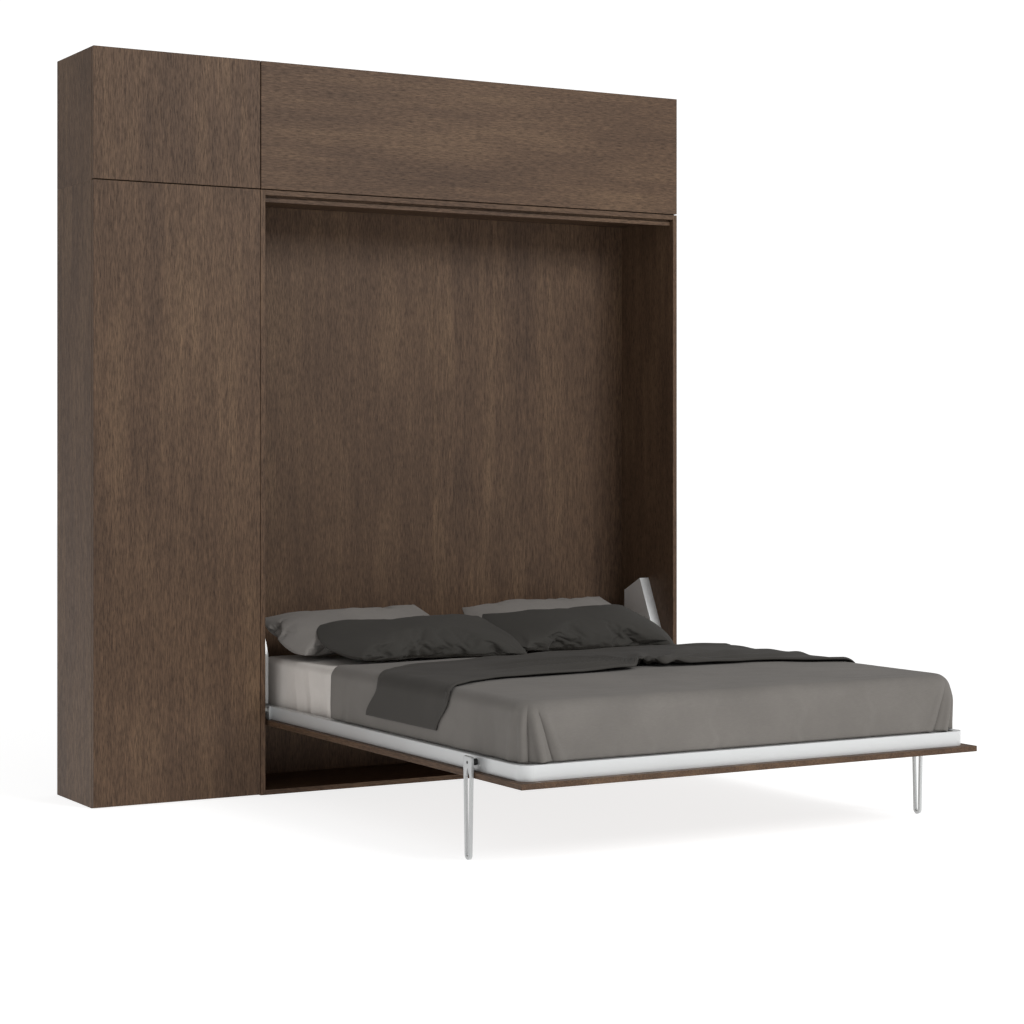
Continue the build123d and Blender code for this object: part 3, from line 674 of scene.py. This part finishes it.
def across_path(skin, low_z, count):
    """The section across the bed: up one side, round a quarter circle, across the top, round the
    other quarter and down again, with s measured along it from the left hem."""
    half = half_w + skin
    radius = EDGE + skin
    high = top_z + skin
    rise = high - radius - low_z
    flat = 2 * (half - radius)
    quarter = math.pi * radius / 2
    total = 2 * rise + 2 * quarter + flat
    s = np.linspace(0, total, count)
    stops = np.cumsum([0, rise, quarter, flat, quarter, rise])
    part = np.clip(np.searchsorted(stops, s, side="right") - 1, 0, 4)
    d = s - stops[part]

    x, z, nx, nz = (np.zeros(count) for _ in range(4))
    at = part == 0
    x[at], z[at], nx[at] = -half, low_z + d[at], -1
    at = part == 1
    turn = d[at] / radius
    x[at], z[at] = -half + radius * (1 - np.cos(turn)), high - radius + radius * np.sin(turn)
    nx[at], nz[at] = -np.cos(turn), np.sin(turn)
    at = part == 2
    x[at], z[at], nz[at] = -half + radius + d[at], high, 1
    at = part == 3
    turn = d[at] / radius
    x[at], z[at] = half - radius + radius * np.sin(turn), high - radius * (1 - np.cos(turn))
    nx[at], nz[at] = np.sin(turn), np.cos(turn)
    at = part == 4
    x[at], z[at], nx[at] = half, high - radius - d[at], 1
    return x + middle_x, z, nx, nz, total


# %% Throw
# Each edge point is (distance from the bed's left side, distance behind the cabinet's front).
NEAR_EDGE = [(-0.1, -1.285), (0, -1.280), (0.075, -1.225), (0.18, -1.145), (0.42, -1.120),
             (0.80, -1.075), (0.90, -1.026), (1.32, -1.060), (1.56, -1.20), (1.8, -1.23)]
FAR_EDGE = [(-0.1, -0.800), (0, -0.799), (0.14, -0.628), (0.50, -0.54), (0.90, -0.455),
            (1.30, -0.44), (1.53, -0.44), (1.8, -0.56)]
ROUND_OFF = 12
NEAR_HANG, FAR_HANG = 0.080, 0.085
PINCH_X, PINCH_Y = bed_left + 0.86, front_y - 1.055
KNOT, KNOT_WIDTH = 0.018, 0.030
PULL, PULL_WIDTH = 0.05, 0.045
SWELL, FOLD_SWELL, ROLLED_EDGE = 0.0022, 0.0030, 0.009
# Each pleat is (direction from the pinch in radians, half angle, height, length).
PLEATS = [(3.00, 0.045, 0.022, 0.60), (2.80, 0.050, 0.026, 0.65), (2.56, 0.055, 0.026, 0.65),
          (2.30, 0.060, 0.022, 0.60), (1.95, 0.080, 0.018, 0.50), (1.55, 0.100, 0.014, 0.50),
          (1.10, 0.100, 0.016, 0.60), (0.72, 0.090, 0.020, 0.80), (0.42, 0.070, 0.020, 0.90),
          (0.18, 0.050, 0.014, 0.95)]


def edge_curve(points, x):
    """Straight lines through the edge's points, then a running mean, which rounds their corners."""
    across, along = np.array(points).T
    line = front_y + np.interp(x, bed_left + across, along)
    window = 2 * ROUND_OFF + 1
    return np.convolve(np.pad(line, ROUND_OFF, mode="edge"), np.ones(window) / window, "valid")


def throw_surface():
    """Points of the throw: columns across the bed and rows from t = 0 at its near edge to t = 1 at
    its far edge. Each is lifted off the section by pleats that rise along rays from the pinch, by
    two slow swells and by a roll at each long edge."""
    x, z, nx, nz, total = across_path(THROW_SKIN, throw_low.z + HEM_GAP, THROW_COLUMNS)
    hang = smooth_step(top_z - z, 0.01, 0.12) * (x < middle_x)
    near = edge_curve(NEAR_EDGE, x) + NEAR_HANG * hang
    far = edge_curve(FAR_EDGE, x) + FAR_HANG * hang
    t = np.linspace(0, 1, THROW_ROWS)[:, None]
    y = near + (far - near) * t

    dx, dy = x[None, :] - PINCH_X, y - PINCH_Y
    radius = np.hypot(dx, dy) + 1e-6
    angle = np.arctan2(dy, dx)
    fan = KNOT * bump_at(radius, 0.0, KNOT_WIDTH)
    for direction, half_angle, height, reach in PLEATS:
        along = smooth_step(radius, 0.0, 0.05) * (1 - smooth_step(radius, reach * 0.5, reach))
        fan += height * bump_at(angle, direction, half_angle) * along

    y = y + PULL * bump_at(x, PINCH_X, PULL_WIDTH)[None, :] * (1 - t) ** 3
    across = np.broadcast_to(x, y.shape)
    top = (nz > 0.5).astype(float)[None, :]
    roll = ROLLED_EDGE * (bump_at(t, 0.02, 0.022) + 0.6 * bump_at(t, 0.98, 0.022))
    lift = (fan * top + SWELL * (1 + ripple(across, y, 21, 0.22))
            + FOLD_SWELL * np.abs(ripple(across, 0.6 * y, 33, 0.5)) + roll * (0.3 + 0.7 * top))
    return np.stack([across + nx[None, :] * lift, y, z[None, :] + nz[None, :] * lift], -1), total


throw_points, throw_length = throw_surface()
throw = grid_mesh("throw_runner", throw_points)
finish_cloth(throw, THROW_THICKNESS, throw_weave)
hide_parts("throw")

# %% [markdown]
# A pillow is two flat panels sewn round their edge and blown up by its filling. It could be a
# squashed sphere, but the cloth solver with pressure does just what the filling does: the middle
# swells, the sides draw in between pointed corners, and the seam puckers. Each pillow is then bent to
# slump on what is under it.

# %% Sewing and filling a pillow
PANEL_COLUMNS, PANEL_ROWS = 84, 56
PRESSURE = 5.0
FILL_FRAMES = 24


def flat_pillow(name, width, depth, seed):
    """Two grids sewn round their edge before filling. With u and v from -1 to 1 across the panel,
    each stands off by a share of (1 - u^4)(1 - v^4), and its sides draw in by v^2 and u^2."""
    u, v = np.meshgrid(np.linspace(-1, 1, PANEL_COLUMNS), np.linspace(-1, 1, PANEL_ROWS))
    rise = 0.22 * (1 - u ** 4) * (1 - v ** 4) * depth * (0.55 + 0.03 * ripple(u, v, seed, 0.8))
    x, y = u * (1 - 0.10 * v ** 2) * width / 2, v * (1 - 0.13 * u ** 2) * depth / 2
    over = np.arange(u.size).reshape(u.shape)
    under = over + u.size
    seam = (np.abs(u) == 1) | (np.abs(v) == 1)
    under[seam] = over[seam]
    faces = []
    for index, step in ((over, 1), (under, -1)):
        corners = [index[:-1, :-1], index[:-1, 1:], index[1:, 1:], index[1:, :-1]]
        faces.append(np.stack(corners, -1).reshape(-1, 4)[:, ::step])
    points = np.concatenate([np.stack([x, y, z], -1).reshape(-1, 3) for z in (rise, -rise)])
    used, renumbered = np.unique(np.concatenate(faces), return_inverse=True)
    return linked_mesh(name, points[used], renumbered.reshape(-1, 4))


def mesh_points(mesh):
    """The places of a mesh's vertices, one row each."""
    flat = np.zeros(len(mesh.vertices) * 3, np.float32)
    mesh.vertices.foreach_get("co", flat)
    return flat.reshape(-1, 3).astype(float)


def fill_pillow(piece):
    """Blow the sewn panels up with the cloth solver, gravity off, and give back where they end."""
    cloth = piece.modifiers.new("cloth", "CLOTH")
    settings = cloth.settings
    settings.quality = 6
    settings.mass = 0.25
    settings.tension_stiffness = settings.compression_stiffness = 22
    settings.shear_stiffness = 8
    settings.bending_stiffness = 0.35
    settings.use_pressure = True
    settings.uniform_pressure_force = PRESSURE
    settings.effector_weights.gravity = 0
    cloth.point_cache.frame_start, cloth.point_cache.frame_end = 1, FILL_FRAMES
    for number in range(1, FILL_FRAMES + 1):
        scene.frame_set(number)
    filled = mesh_points(piece.evaluated_get(bpy.context.evaluated_depsgraph_get()).data)
    piece.modifiers.remove(cloth)
    scene.frame_set(1)
    return filled


# %% Pillows
SHEET_TOP, DUVET_TOP = 0.0035, 0.0148
SOFT_REST = 0.02
TWIST, PILLOW_SWELL = 0.012, 0.006


def turned(first, second, angle):
    """Two coordinates turned by an angle in their own plane."""
    c, s = math.cos(angle), math.sin(angle)
    return c * first - s * second, s * first + c * second


def pillow(name, node, size, centre, lean, turn, slump, material, seed):
    """One pillow: filled, scaled to its size, bent by slump times (share of its depth squared - 1/2)
    / 2, leaned, turned and set in place. What is less than soft above the bed, or would sink into it, is
    laid on it, by z = rest + soft ln(1 + e^((z - rest) / soft))."""
    piece = flat_pillow(name, size[0], size[1], seed)
    points = fill_pillow(piece)
    low, high = points.min(0), points.max(0)
    points = (points - (high + low) / 2) * (np.array(size) / (high - low))
    x, y, z = points.T
    share_x, share_y = x / (size[0] / 2), y / (size[1] / 2)
    z = z + slump * (share_y ** 2 - 0.5) * 0.5 + TWIST * share_x * share_y
    z = z + PILLOW_SWELL * ripple(x, y, seed + 40, 0.35)
    y, z = turned(y, z, lean)
    x, y = turned(x, y, turn)
    x, y, z = x + bed_left + centre[0], y + front_y + centre[1], z + top_z + centre[2]
    rest_z = top_z + (DUVET_TOP if front_y + centre[1] < duvet_high.y else SHEET_TOP)
    over = (z - rest_z) / SOFT_REST
    z = np.where(over < 1, rest_z + SOFT_REST * np.logaddexp(0, over), z)
    piece.data.vertices.foreach_set("co", np.stack([x, y, z], -1).astype(np.float32).ravel())
    piece.data.update()

    smooth = piece.modifiers.new("smooth", "SUBSURF")
    smooth.levels = smooth.render_levels = 1
    piece.data.materials.append(material)
    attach(piece, "bed")
    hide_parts(node)
    applied = piece.evaluated_get(bpy.context.evaluated_depsgraph_get()).data.copy()
    piece.modifiers.clear()
    piece.data = applied
    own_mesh(piece)
    print(name, "z", round(z.min(), 3), round(z.max(), 3), "y", round(y.min(), 3), round(y.max(), 3))


# Each row is (piece, node, size, place from the bed's left side, the cabinet's front and the
# mattress's top, lean and turn in degrees, slump, material, slot).
PILLOWS = [
    ("pillow_rear_left", "pillow_back_left", (0.69, 0.44, 0.15),
     (0.340, 0.045, 0.082), 17, -2, 0.03, pillow_cotton, "duvet_cotton"),
    ("pillow_rear_right", "pillow_back_right", (0.70, 0.44, 0.15),
     (1.170, 0.045, 0.084), 18, 2, 0.03, pillow_cotton, "duvet_cotton"),
    ("pillow_fore_left", "pillow_front_left", (0.74, 0.44, 0.145),
     (0.44, -0.220, 0.070), 13, -4, 0.02, dark_cotton, "throw_fabric"),
    ("pillow_fore_right", "pillow_front_right", (0.71, 0.44, 0.145),
     (1.105, -0.200, 0.080), 16, -4, 0.02, dark_cotton, "throw_fabric")]
scene.render.fps = 24
for seed, (name, node, size, centre, lean, turn, slump, material, slot_name) in enumerate(PILLOWS, 1):
    pillow(name, node, size, centre, math.radians(lean), math.radians(turn), slump, material,
           seed)
